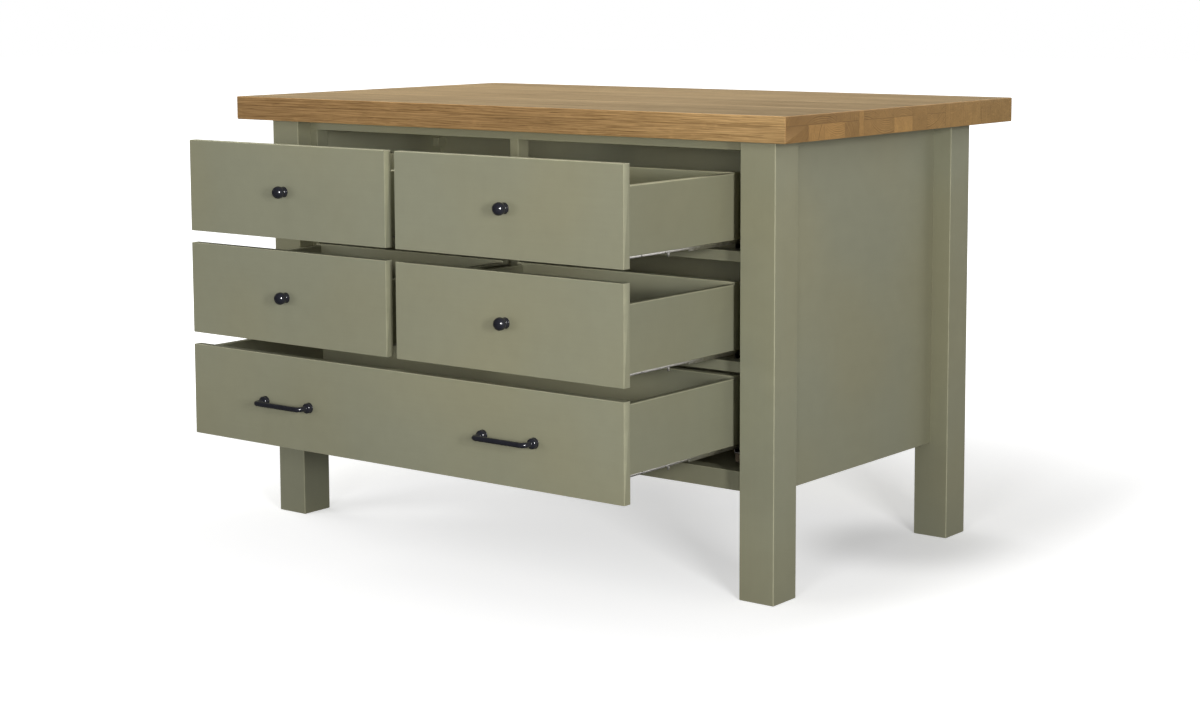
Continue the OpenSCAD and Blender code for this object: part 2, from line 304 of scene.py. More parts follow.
class Net:
    """A material's node tree, with short calls for the nodes used here."""

    def __init__(self, name):
        self.mat = bpy.data.materials.new(name)
        self.mat.use_nodes = True
        self.tree = self.mat.node_tree
        self.tree.nodes.clear()
        out = self.add("ShaderNodeOutputMaterial")
        self.bsdf = self.add("ShaderNodeBsdfPrincipled")
        self.tree.links.new(self.bsdf.outputs[0], out.inputs[0])
        self.co = self.add("ShaderNodeTexCoord").outputs["Object"]

    def add(self, kind, **attrs):
        node = self.tree.nodes.new(kind)
        for k, v in attrs.items():
            setattr(node, k, v)
        return node

    def put(self, socket, value):
        if isinstance(value, bpy.types.NodeSocket):
            self.tree.links.new(value, socket)
        else:
            socket.default_value = value

    def math(self, op, a, b=0.0, clamp=False):
        node = self.add("ShaderNodeMath", operation=op, use_clamp=clamp)
        self.put(node.inputs[0], a)
        self.put(node.inputs[1], b)
        return node.outputs[0]

    def sum(self, *terms):
        """Sum of (weight, value) terms and plain numbers."""
        total = None
        for t in terms:
            v = self.math("MULTIPLY", t[1], t[0]) if isinstance(t, tuple) else t
            total = v if total is None else self.math("ADD", total, v)
        return total

    def vmath(self, op, a, b=(0.0, 0.0, 0.0)):
        node = self.add("ShaderNodeVectorMath", operation=op)
        self.put(node.inputs[0], a)
        self.put(node.inputs[1], b)
        return node.outputs[1] if op in ("LENGTH", "DOT_PRODUCT") else node.outputs[0]

    def split(self, v):
        node = self.add("ShaderNodeSeparateXYZ")
        self.put(node.inputs[0], v)
        return node.outputs

    def join(self, x, y, z):
        node = self.add("ShaderNodeCombineXYZ")
        for s, v in zip(node.inputs, (x, y, z)):
            self.put(s, v)
        return node.outputs[0]

    def noise(self, v, scale=1.0, detail=2.0, rough=0.5, colour=False):
        node = self.add("ShaderNodeTexNoise")
        self.put(node.inputs["Vector"], v)
        node.inputs["Scale"].default_value = scale
        node.inputs["Detail"].default_value = detail
        node.inputs["Roughness"].default_value = rough
        return node.outputs["Color" if colour else "Fac"]

    def cells(self, v, scale, feature="F1"):
        node = self.add("ShaderNodeTexVoronoi", feature=feature)
        self.put(node.inputs["Vector"], v)
        node.inputs["Scale"].default_value = scale
        return node.outputs

    def remap(self, v, a, b, c=0.0, d=1.0, smooth=False):
        node = self.add(
            "ShaderNodeMapRange",
            interpolation_type="SMOOTHSTEP" if smooth else "LINEAR",
        )
        for s, x in zip(node.inputs, (v, a, b, c, d)):
            self.put(s, x)
        return node.outputs[0]

    def ramp(self, fac, stops):
        node = self.add("ShaderNodeValToRGB")
        self.put(node.inputs[0], fac)
        els = node.color_ramp.elements
        while len(els) < len(stops):
            els.new(0.5)
        for el, (p, c) in zip(els, stops):
            el.position = p
            el.color = (*c, 1) if hasattr(c, "__len__") else (c, c, c, 1)
        return node.outputs[0]

    def mix(self, fac, a, b, mode="MIX"):
        node = self.add("ShaderNodeMix", data_type="RGBA", blend_type=mode)
        self.put(node.inputs[0], fac)
        for s, v in ((node.inputs[6], a), (node.inputs[7], b)):
            self.put(s, v if isinstance(v, bpy.types.NodeSocket) else (*v, 1.0))
        return node.outputs[2]

    def attr(self, name, out="Fac"):
        return self.add("ShaderNodeAttribute", attribute_name=name).outputs[out]

    def bump(self, height, strength, distance, normal=None):
        node = self.add("ShaderNodeBump")
        node.inputs["Strength"].default_value = strength
        node.inputs["Distance"].default_value = distance
        self.put(node.inputs["Height"], height)
        if normal is not None:
            self.put(node.inputs["Normal"], normal)
        return node.outputs[0]


def tone(c, k):
    return tuple(min(1.0, x * k) for x in c)


# ---------------------------------------------------------------- materials


def paint(name, base, axis, rough=0.42):
    """Sprayed satin paint over fine-grained hardwood, whose grain runs along axis and hardly shows."""
    m = Net(name)
    stretch = [190.0, 190.0, 190.0]
    stretch[axis] = 5.0
    brush = [620.0, 620.0, 620.0]
    brush[axis] = 14.0
    cloud = m.noise(m.co, 2.1, 2.0)
    mottle = m.noise(m.co, 31.0, 3.0, 0.55)
    grain = m.noise(m.vmath("MULTIPLY", m.co, stretch), 1.0, 3.0, 0.55)
    strokes = m.noise(m.vmath("MULTIPLY", m.co, brush), 1.0, 2.0)
    stipple = m.noise(m.co, 900.0, 1.0)
    f = m.sum((0.85, cloud), (0.45, mottle), (0.20, grain), (0.12, strokes), -0.31)
    colour = m.mix(m.math("ADD", f, 0.0, True), tone(base, 0.90), tone(base, 1.10))
    # a slow drift between a greener and a warmer tone
    drift = m.noise(m.vmath("ADD", m.co, (3.1, 7.7, 1.3)), 3.3, 1.0)
    warm = (1.02, 1.0, 0.965)
    green = (0.985, 1.0, 1.03)
    colour = m.mix(1.0, colour, m.mix(m.remap(drift, 0.35, 0.65), warm, green), "MULTIPLY")
    # painted shade and light: darker towards the floor and a little lighter high up, as the light falls off downwards
    up = m.split(m.co)[2]
    painted_light_by_height = m.math("ADD", m.remap(up, 0.02, 0.42, 0.865, 0.985), m.remap(up, 0.48, 0.86, 0.0, 0.04))
    colour = m.mix(1.0, colour, m.join(painted_light_by_height, painted_light_by_height, painted_light_by_height), "MULTIPLY")
    # paler along the arrises: thinner paint, and a painted highlight where the light catches them
    wear_and_painted_highlight = m.math("MULTIPLY", m.attr("arris"), m.remap(mottle, 0.25, 0.7, 0.45, 0.90))
    colour = m.mix(wear_and_painted_highlight, colour, tone(base, 1.62))
    m.put(m.bsdf.inputs["Base Color"], colour)
    m.put(m.bsdf.inputs["Roughness"], m.sum((0.14, mottle), (0.05, grain), rough - 0.09))
    height = m.sum((0.25, grain), (0.20, strokes), (0.40, stipple))
    m.put(m.bsdf.inputs["Normal"], m.bump(height, 0.20, 0.22 * MM))
    return m.mat


def wood(name, light, dark, pore, ring=3.4 * MM, rough=0.42, joints=True, rays=1.0):
    """Solid timber with its grain along x and its log centre from the 'stave' attribute: growth rings, pores, rays and
    fibre streaks in 3-D.
    """
    m = Net(name)
    x, y, z = m.split(m.co)[:3]
    stave = m.split(m.attr("stave", "Vector"))
    seed = m.attr("seed")
    shift = m.join(m.math("MULTIPLY", seed, 3.7), m.math("MULTIPLY", seed, 1.9), m.math("MULTIPLY", seed, 5.3))
    here = m.vmath("ADD", m.co, shift)
    # the log's centre wanders slowly along the grain
    wander = m.split(m.noise(m.vmath("MULTIPLY", here, (0.9, 3.0, 3.0)), 1.0, 2.0, 0.5, True))
    ripple = m.split(m.noise(m.vmath("MULTIPLY", here, (7.0, 55.0, 55.0)), 1.0, 2.0, 0.5, True))
    dy = m.sum(y, m.math("MULTIPLY", stave[0], -1.0), (0.050, wander[0]), (0.0026, ripple[0]), -0.0263)
    dz = m.sum(z, m.math("MULTIPLY", stave[1], -1.0), (0.050, wander[1]), (0.0026, ripple[1]), -0.0263)
    r = m.math("SQRT", m.math("ADD", m.math("MULTIPLY", dy, dy), m.math("MULTIPLY", dz, dz)))
    uneven = m.noise(m.join(m.math("MULTIPLY", r, 95.0), seed, 0.0), 1.0, 1.0)
    turn = m.math("ADD", m.math("DIVIDE", r, ring), m.math("MULTIPLY", uneven, 2.2))
    ring_f = m.math("FRACT", turn)
    band = m.ramp(ring_f, [(0.0, 0.12), (0.10, 0.30), (0.34, 0.80), (0.72, 1.0), (0.93, 0.72), (1.0, 0.12)])
    # fibre streaks and the broad figure along the grain
    streak = m.noise(m.vmath("MULTIPLY", here, (12.0, 680.0, 680.0)), 1.0, 3.0, 0.6)
    dash = m.noise(m.vmath("MULTIPLY", here, (17.0, 430.0, 430.0)), 1.0, 2.0, 0.6)
    broad = m.noise(m.vmath("MULTIPLY", here, (2.2, 42.0, 42.0)), 1.0, 3.0, 0.6)
    fine = m.noise(m.vmath("MULTIPLY", here, (30.0, 900.0, 900.0)), 1.0, 2.0, 0.6)
    early = m.remap(ring_f, 0.02, 0.36, 1.0, 0.15)
    pores = m.math("MULTIPLY", m.remap(fine, 0.56, 0.66, 0.0, 1.0), early)
    ends = m.math("ABSOLUTE", m.split(m.add("ShaderNodeNewGeometry").outputs["Normal"])[0])
    ends = m.remap(ends, 0.6, 0.95)
    fibre = m.math("MULTIPLY", m.math("SUBTRACT", streak, 0.5), m.remap(ends, 0.0, 1.0, 2.1, 0.7))
    rings = m.math("MULTIPLY", m.math("SUBTRACT", band, 0.65), m.remap(ends, 0.0, 1.0, 0.34, 0.95))
    f = m.sum(fibre, rings, (0.65, broad), 0.195)
    if joints:
        # long light and dark lines, which show on the top
        lines = m.noise(m.vmath("MULTIPLY", here, (1.3, 30.0, 2.0)), 1.0, 3.0, 0.7)
        flat = m.remap(m.split(m.add("ShaderNodeNewGeometry").outputs["Normal"])[2], 0.6, 0.95, 0.0, 1.7)
        f = m.math("ADD", f, m.math("MULTIPLY", flat, m.math("SUBTRACT", lines, 0.5)))
    colour = m.mix(m.math("ADD", f, 0.0, True), dark, light)
    # rays: pale radial lines on end grain, flecks where the cut runs along them
    ang = m.math("ARCTAN2", dz, dy)
    ray = m.noise(m.join(m.math("MULTIPLY", x, 26.0), m.math("MULTIPLY", ang, 42.0), m.math("MULTIPLY", r, 55.0)), 1.0, 2.0, 0.5)
    colour = m.mix(m.math("MULTIPLY", m.remap(ray, 0.60, 0.72), 0.28 * rays), colour, tone(light, 1.22))
    colour = m.mix(m.math("MULTIPLY", pores, 0.55), colour, pore)
    colour = m.mix(m.remap(dash, 0.57, 0.70, 0.0, 0.50), colour, pore)
    colour = m.mix(1.0, colour, m.join(stave[2], stave[2], stave[2]), "MULTIPLY")
    if joints:
        # painted sheen: the top is paler and bluer; painted light: the front board turns lighter towards its right end
        face = m.split(m.add("ShaderNodeNewGeometry").outputs["Normal"])
        up = m.remap(face[2], 0.6, 0.95)
        oiled = m.mix(m.remap(y, -0.30, 0.55), (0.81, 0.755, 0.575), (0.97, 0.97, 0.785))
        colour = m.mix(ends, colour, m.mix(1.0, colour, oiled, "MULTIPLY"))
        # painted sheen on the top faces
        colour = m.mix(up, colour, m.mix(1.0, colour, (0.90, 1.09, 1.38), "MULTIPLY"))
        # painted light on the front board, growing towards its right end
        painted_light_ahead = m.math("MULTIPLY", m.remap(face[1], -0.6, -0.95), m.remap(x, 0.05, 0.70, 0.0, 1.0))
        colour = m.mix(painted_light_ahead, colour, m.mix(1.0, colour, (1.28, 1.36, 1.39), "MULTIPLY"))
    if joints:
        edge = m.split(m.attr("edges", "Vector"))
        near = m.math("MINIMUM", m.math("SUBTRACT", y, edge[0]), m.math("SUBTRACT", edge[1], y))
        near = m.math("MINIMUM", near, m.math("ABSOLUTE", m.math("SUBTRACT", z, edge[2])))
        line = m.remap(near, 0.15 * MM, 0.75 * MM, 0.62, 0.0, True)
        colour = m.mix(line, colour, pore)
    # painted highlight along the eased arrises
    colour = m.mix(m.math("MULTIPLY", m.attr("arris"), 0.30), colour, tone(light, 1.25))
    m.put(m.bsdf.inputs["Base Color"], colour)
    m.put(m.bsdf.inputs["Roughness"], m.sum((0.14, streak), (0.14, pores), rough - 0.07))
    m.bsdf.inputs["Specular IOR Level"].default_value = 0.34
    height = m.sum((0.35, band), (0.55, streak), (-1.1, pores))
    m.put(m.bsdf.inputs["Normal"], m.bump(height, 0.30, 0.22 * MM))
    return m.mat


def zinc(name):
    """Zinc-plated rolled steel: faint spangle, roll marks along y and small dull spots."""
    m = Net(name)
    spangle = m.cells(m.co, 130.0)["Color"]
    tint = m.split(spangle)[0]
    cloud = m.noise(m.co, 24.0, 2.0)
    rolls = m.noise(m.vmath("MULTIPLY", m.co, (1500.0, 22.0, 1500.0)), 1.0, 2.0)
    f = m.sum((0.55, tint), (0.7, cloud), (0.35, rolls), -0.30)
    m.put(m.bsdf.inputs["Base Color"], m.mix(m.math("ADD", f, 0.0, True), (0.40, 0.385, 0.36), (0.66, 0.645, 0.61)))
    m.bsdf.inputs["Metallic"].default_value = 1.0
    m.put(m.bsdf.inputs["Roughness"], m.sum((0.14, tint), (0.14, cloud), (0.08, rolls), 0.22))
    m.put(m.bsdf.inputs["Normal"], m.bump(m.sum((0.5, rolls), (0.3, tint)), 0.18, 0.1 * MM))
    return m.mat


def bright_steel(name):
    """Bright plated steel with fine tumbling marks."""
    m = Net(name)
    cloud = m.noise(m.co, 160.0, 3.0)
    marks = m.noise(m.vmath("MULTIPLY", m.co, (2400.0, 300.0, 900.0)), 1.0, 2.0)
    m.put(m.bsdf.inputs["Base Color"], m.mix(cloud, (0.52, 0.515, 0.50), (0.74, 0.73, 0.70)))
    m.bsdf.inputs["Metallic"].default_value = 1.0
    m.put(m.bsdf.inputs["Roughness"], m.sum((0.18, cloud), (0.12, marks), 0.14))
    m.put(m.bsdf.inputs["Normal"], m.bump(marks, 0.12, 0.05 * MM))
    return m.mat


def black(name):
    """Glossy black coating over forged metal, very slightly uneven."""
    m = Net(name)
    slow = m.noise(m.co, 85.0, 2.0)
    peel = m.noise(m.co, 640.0, 2.0)
    fine = m.noise(m.co, 2600.0, 1.0)
    m.put(m.bsdf.inputs["Base Color"], m.mix(slow, (0.0038, 0.0040, 0.0062), (0.0090, 0.0092, 0.0122)))
    m.put(m.bsdf.inputs["Roughness"], m.sum((0.10, slow), (0.08, fine), 0.105))
    m.put(m.bsdf.inputs["Normal"], m.bump(m.sum((0.7, peel), (0.3, slow)), 0.10, 0.25 * MM))
    m.bsdf.inputs["Specular IOR Level"].default_value = 0.42
    return m.mat


SAGE = (0.330, 0.324, 0.218)
INNER = (0.325, 0.318, 0.214)
PAINT = [paint(f"sage_paint_grain_{a}", SAGE, k) for k, a in enumerate("xyz")]
INSIDE = [paint(f"inner_paint_grain_{a}", INNER, k, 0.50) for k, a in enumerate("xyz")]
OAK = wood("oiled_oak", (0.600, 0.358, 0.150), (0.250, 0.135, 0.046), (0.120, 0.060, 0.020))
# paler paint inside: painted light, standing in for the light that reaches into the cabinet
BACKING_PAINTED_LIGHT = paint("inner_back_painted_light_grain_x", (0.520, 0.510, 0.340), 0, 0.55)
LINING_PAINTED_LIGHT = paint("lining_painted_light_grain_y", (0.520, 0.510, 0.340), 1, 0.55)
# dark bearers: painted shade, as dark as the shade round them
BEARER_PAINTED_SHADE = wood("bearers_painted_shade", (0.165, 0.128, 0.088), (0.105, 0.080, 0.054), (0.050, 0.037, 0.026), 2.8 * MM, 0.60, False, 0.3)
ZINC = zinc("zinc_plate")
STEEL = bright_steel("bright_steel")
BLACK = black("black_coating")

# ---------------------------------------------------------------- worktop

lo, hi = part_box("worktop")
front = lo.y
layer_z = lo.z + 0.62 * (hi.z - lo.z)
# Staves of the upper and the lower layer: far edge from the front in mm, the log centre's offset
# from the stave's middle in mm (back, up), and tone.
UPPER = [
    (168, (30, -62), 0.86), (248, (210, 8), 0.90), (266, (150, -20), 1.14),
    (319, (-20, -70), 0.90), (371, (60, 66), 0.97), (444, (4, -34), 0.92),
    (500, (-120, 30), 0.92), (572, (46, -52), 0.94), (718, (230, 20), 0.99),
    (850, (-170, -30), 0.92),
]
LOWER = [
    (75, (-40, 50), 0.80), (128, (90, -30), 1.14), (200, (14, 58), 1.20),
    (248, (-60, -40), 0.90), (266, (150, -20), 1.14), (375, (30, 72), 1.00),
    (445, (44, -44), 1.24), (500, (-120, 30), 0.92), (572, (-36, 60), 0.98),
    (718, (230, 20), 0.99), (850, (-170, -30), 0.92),
]
SOLID = {266, 500, 718, 850}  # staves that run through both layers

bm = new_bm()
board(bm, lo, hi, 0, r=2.0 * MM, e=1.8 * MM, seg=3, end_seg=3)
for y_mm in sorted({s[0] for s in UPPER + LOWER} - {850}):
    bmesh.ops.bisect_plane(bm, geom=bm.verts[:] + bm.edges[:] + bm.faces[:], plane_co=(0, front + y_mm * MM, 0), plane_no=(0, 1, 0))
bmesh.ops.bisect_plane(bm, geom=bm.verts[:] + bm.edges[:] + bm.faces[:], plane_co=(0, 0, layer_z), plane_no=(0, 0, 1))
ob = piece("worktop_oak", bm, OAK, "worktop", "carcass")
stave, edges, seed = [], [], []
for p in ob.data.polygons:
    y_mm = (p.center.y - front) / MM
    rows = UPPER if p.center.z > layer_z else LOWER
    k = next(i for i, s in enumerate(rows) if y_mm <= s[0] + 1e-3 or i == len(rows) - 1)
    far, (oy, oz), t = rows[k]
    near = rows[k - 1][0] if k else 0
    mid = (near + far) / 2
    stave.append((front + (mid + oy) * MM, (lo.z + hi.z) / 2 + oz * MM, t))
    edges.append((
        front + near * MM if k else -9.0,
        front + far * MM if far < 850 else 9.0,
        -9.0 if far in SOLID else layer_z,
    ))
    seed.append(0.37 * far + (0.0 if far in SOLID or rows is UPPER else 11.3))
face_values(ob.data, "stave", "FLOAT_VECTOR", stave)
face_values(ob.data, "edges", "FLOAT_VECTOR", edges)
face_values(ob.data, "seed", "FLOAT", [s % 7.0 for s in seed])


def plain_staves(me, parts):
    """One log for each board of a piece: parts is [(low, high)], matched by position."""
    st, sd = [], []
    for p in me.polygons:
        k = min(
            range(len(parts)),
            key=lambda i: (Vector(p.center) - (parts[i][0] + parts[i][1]) / 2).length,
        )
        a, b = parts[k]
        st.append(((a.y + b.y) / 2 + 0.05 * math.sin(k * 2.3), (a.z + b.z) / 2 + 0.07 * math.cos(k * 1.7), 1.0 + 0.06 * math.sin(k * 3.1)))
        sd.append((k * 1.37) % 7.0)
    face_values(me, "stave", "FLOAT_VECTOR", st)
    face_values(me, "seed", "FLOAT", sd)


# ---------------------------------------------------------------- carcass

for side in ("front_left", "front_right", "back_left", "back_right"):
    node = "leg_" + side
    lo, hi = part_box(node)
    bm = new_bm()
    board(bm, lo, hi, 2, r=1.6 * MM, e=2.0 * MM, e1=0.2 * MM, seg=4, end_seg=3)
    piece(node + "_post", bm, PAINT[2], node, "carcass")

for side in ("left", "right"):
    node = "side_panel_" + side
    lo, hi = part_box(node)
    bm = new_bm()
    board(bm, lo, hi, 1, r=0.9 * MM, e=0.5 * MM)
    ob = piece(node + "_board", bm, PAINT[1], node, "carcass")
    # the inner face has the paler inside paint, painted light for the light inside the cabinet
    ob.data.materials.append(LINING_PAINTED_LIGHT)
    s = 1 if side == "left" else -1
    for p in ob.data.polygons:
        if p.normal.x * s > 0.9:
            p.material_index = 1

lo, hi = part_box("back_panel")
bm = new_bm()
board(bm, lo, hi, 0, r=0.9 * MM, e=0.5 * MM)
piece("back_panel_board", bm, PAINT[0], "back_panel", "carcass")

lo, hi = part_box("inner_back_panel")
bm = new_bm()
board(bm, lo, hi, 0, r=0.5 * MM, e=0.3 * MM, seg=2, end_seg=1)
piece("inner_back_panel_board", bm, BACKING_PAINTED_LIGHT, "inner_back_panel", "carcass")

# The bottom board is notched round the four legs.
lo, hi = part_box("bottom_board")
leg_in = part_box("leg_front_right")[0].x
leg_f, leg_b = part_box("leg_front_right")[1].y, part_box("leg_back_right")[0].y
pts = [
    (-leg_in, lo.y), (leg_in, lo.y), (leg_in, leg_f), (hi.x, leg_f), (hi.x, leg_b), (leg_in, leg_b),
    (leg_in, hi.y), (-leg_in, hi.y), (-leg_in, leg_b), (lo.x, leg_b), (lo.x, leg_f), (-leg_in, leg_f),
]
bm = new_bm()
extrude(bm, pts, [0.0] * 12, 2, lo.z, hi.z, 0.4 * MM, end_seg=2)
piece("bottom_board_panel", bm, INSIDE[0], "bottom_board", "carcass")

# Face frame: rails run across, stiles run up.
for node, axis, r in (
    ("top_rail", 0, 0.8), ("mid_rails", 0, 1.0), ("bottom_rail", 0, 1.2),
    ("side_stiles", 2, 1.0), ("centre_stiles", 2, 1.0),
):
    bm = new_bm()
    for lo, hi in solids(node):
        board(bm, lo, hi, axis, r=r * MM, e=0.12 * MM, end_seg=1)
    piece(node + "_frame", bm, PAINT[axis], node, "carcass")

bm = new_bm()
parts = solids("runner_bearers")
for lo, hi in parts:
    board(bm, lo, hi, 1, r=1.2 * MM, e=0.3 * MM, seg=2)
ob = piece("runner_bearers_timber", bm, BEARER_PAINTED_SHADE, "runner_bearers", "carcass")
plain_staves(ob.data, parts)

bm = new_bm()
parts = solids("corner_blocks")
for lo, hi in parts:
    board(bm, lo, hi, 2, r=1.0 * MM, e=0.8 * MM, seg=2)
# the corner blocks take the paler inside paint: painted light
piece("corner_blocks_timber", bm, BACKING_PAINTED_LIGHT, "corner_blocks", "carcass")

# ---------------------------------------------------------------- fixings


def cross_recess(bm, top, out, size, depth):
    """Adds the form of a cross recess, for cutting a screw head."""
    out = Vector(out).normalized()
    u = out.orthogonal().normalized()
    v = out.cross(u)
    for a, b in ((u, v), (v, u)):
        rows = []
        for d, k in ((0.4 * MM, 1.0), (-depth, 0.45)):
            c = Vector(top) + out * d
            rows.append([bm.verts.new(c + a * (i * size * k) + b * (j * 0.34 * MM)) for i, j in ((-1, -1), (1, -1), (1, 1), (-1, 1))])
        low, high = rows[1], rows[0]
        for i in range(4):
            j = (i + 1) % 4
            bm.faces.new((low[i], low[j], high[j], high[i]))
        bm.faces.new(low)
        bm.faces.new(high)


def thread(r, root, a, b, pitch):
    """Ridges of a thread from a to b along the shank, as a turned profile."""
    out, d = [], a
    while d + pitch < b:
        out += [(root, d), (r, d + pitch * 0.45), (r, d + pitch * 0.55)]
        d += pitch
    return out + [(root, b)]


def fixing(head_r, head_h, r, shank, pitch, pointed):
    """A screw along +z with the underside of its head at the origin, as a mesh."""
    root = r - 0.28 * MM
    tip = [(0, -shank), (0.25 * MM, -shank + 0.1 * MM), (root, -shank + 3.0 * MM)] if pointed else [(0, -shank), (root - 0.2 * MM, -shank), (root, -shank + 0.3 * MM)]
    profile = tip[:-1] + thread(r, root, tip[-1][1], -1.2 * MM, pitch)
    profile += [(r, -1.2 * MM + 0.2 * MM), (r, 0), (head_r - 0.15 * MM, 0), (head_r, 0.18 * MM)]
    for k in range(6):
        t = math.pi / 2 * k / 6
        profile.append((head_r * (0.55 + 0.45 * math.cos(t)) if k else head_r, 0.45 * head_h + 0.55 * head_h * math.sin(t)))
    profile += [(head_r * 0.5, head_h), (0, head_h)]
    bm = new_bm()
    lathe(bm, profile, (0, 0, 0), (0, 0, 1), 28)
    cutter = new_bm()
    cross_recess(cutter, (0, 0, head_h), (0, 0, 1), head_r * 0.52, head_h * 0.62)
    return cut(bm, cutter, "MANIFOLD")


def copies(bm, me, places):
    """Adds a copy of me to bm at each (point, direction of its +z)."""
    for point, out in places:
        m = Vector((0, 0, 1)).rotation_difference(Vector(out)).to_matrix().to_4x4()
        copy = me.copy()
        copy.transform(Matrix.Translation(point) @ m)
        bm.from_mesh(copy)
        bpy.data.meshes.remove(copy)


seat_screw = fixing(3.5 * MM, 1.4 * MM, 1.75 * MM, 14 * MM, 1.3 * MM, True)
top_screw = fixing(3.5 * MM, 1.4 * MM, 1.75 * MM, 16 * MM, 1.3 * MM, True)
seats, tops = [], []
for lo, hi in solids("carcass_screws"):
    c, s = (lo + hi) / 2, hi - lo
    if s.z > s.x and s.z < 16.5 * MM:
        seats.append((Vector((c.x, c.y, hi.z - 1.4 * MM)), (0, 0, 1)))
    elif s.z > s.x:
        tops.append((Vector((c.x, c.y, lo.z + 1.4 * MM)), (0, 0, -1)))
    elif c.x > 0:
        seats.append((Vector((lo.x + 1.4 * MM, c.y, c.z)), (-1, 0, 0)))
    else:
        seats.append((Vector((hi.x - 1.4 * MM, c.y, c.z)), (1, 0, 0)))
bm = new_bm()
copies(bm, seat_screw, seats)
copies(bm, top_screw, tops)
me = bpy.data.meshes.new("carcass_screws_steel")
bm.to_mesh(me)
bm.free()
dress("carcass_screws_steel", me, STEEL, "carcass_screws", "carcass", 38, False)

# Angle brackets under the worktop: bent strip with a screw hole in each leaf.
bm, holes = new_bm(), new_bm()
for lo, hi in solids("worktop_brackets"):
    s = 1 if (lo.x + hi.x) > 0 else -1
    x_out, x_in = (hi.x, lo.x) if s > 0 else (lo.x, hi.x)
    t = 2 * MM
    pts = [
        (x_out, lo.z), (x_out, hi.z), (x_in, hi.z), (x_in, hi.z - t),
        (x_out - s * t, hi.z - t), (x_out - s * t, lo.z),
    ]
    extrude(bm, pts, [0.5 * MM, 2.6 * MM, 0.5 * MM, 0.5 * MM, 0.7 * MM, 0.5 * MM], 1, lo.y, hi.y, 0.4 * MM, seg=4)
    c = (lo + hi) / 2
    rod(holes, (c.x, c.y, hi.z - 5 * MM), (c.x, c.y, hi.z + 3 * MM), 2.1 * MM)
    rod(holes, (x_out + s * 3 * MM, c.y, c.z), (x_out - s * 5 * MM, c.y, c.z), 2.1 * MM)
dress("worktop_brackets_steel", cut(bm, holes), STEEL, "worktop_brackets", "carcass", 38, False)

# ---------------------------------------------------------------- runners

# Cabinet members: open channels with the screw holes and three slots in each floor.
bm, holes = new_bm(), new_bm()
for lo, hi in solids("runner_cabinet_members"):
    x, w, t, wall = (lo.x + hi.x) / 2, (hi.x - lo.x) / 2, 1.5 * MM, 1.2 * MM
    z0, z1 = lo.z, hi.z
    pts = [
        (x - w, z0), (x + w, z0), (x + w, z1), (x + w - wall, z1),
        (x + w - wall, z0 + t), (x - w + wall, z0 + t), (x - w + wall, z1), (x - w, z1),
    ]
    extrude(bm, pts, [2.0 * MM, 2.0 * MM, 0.45 * MM, 0.45 * MM, 0.8 * MM, 0.8 * MM, 0.45 * MM, 0.45 * MM], 1, lo.y, hi.y, 0.3 * MM, seg=3, end_seg=1)
    for y in (lo.y + 40 * MM, hi.y - 40 * MM):
        rod(holes, (x, y, z0 - 2 * MM), (x, y, z0 + 3 * MM), 3.7 * MM, 32)
    for y in (lo.y + 92 * MM, (lo.y + hi.y) / 2, hi.y - 92 * MM):
        slot_hole(holes, (x, y), 7 * MM, 2.2 * MM, z0 - 2 * MM, z0 + 3 * MM)
dress("runner_cabinet_channels", cut(bm, holes), ZINC, "runner_cabinet_members", "carcass", 38, False)

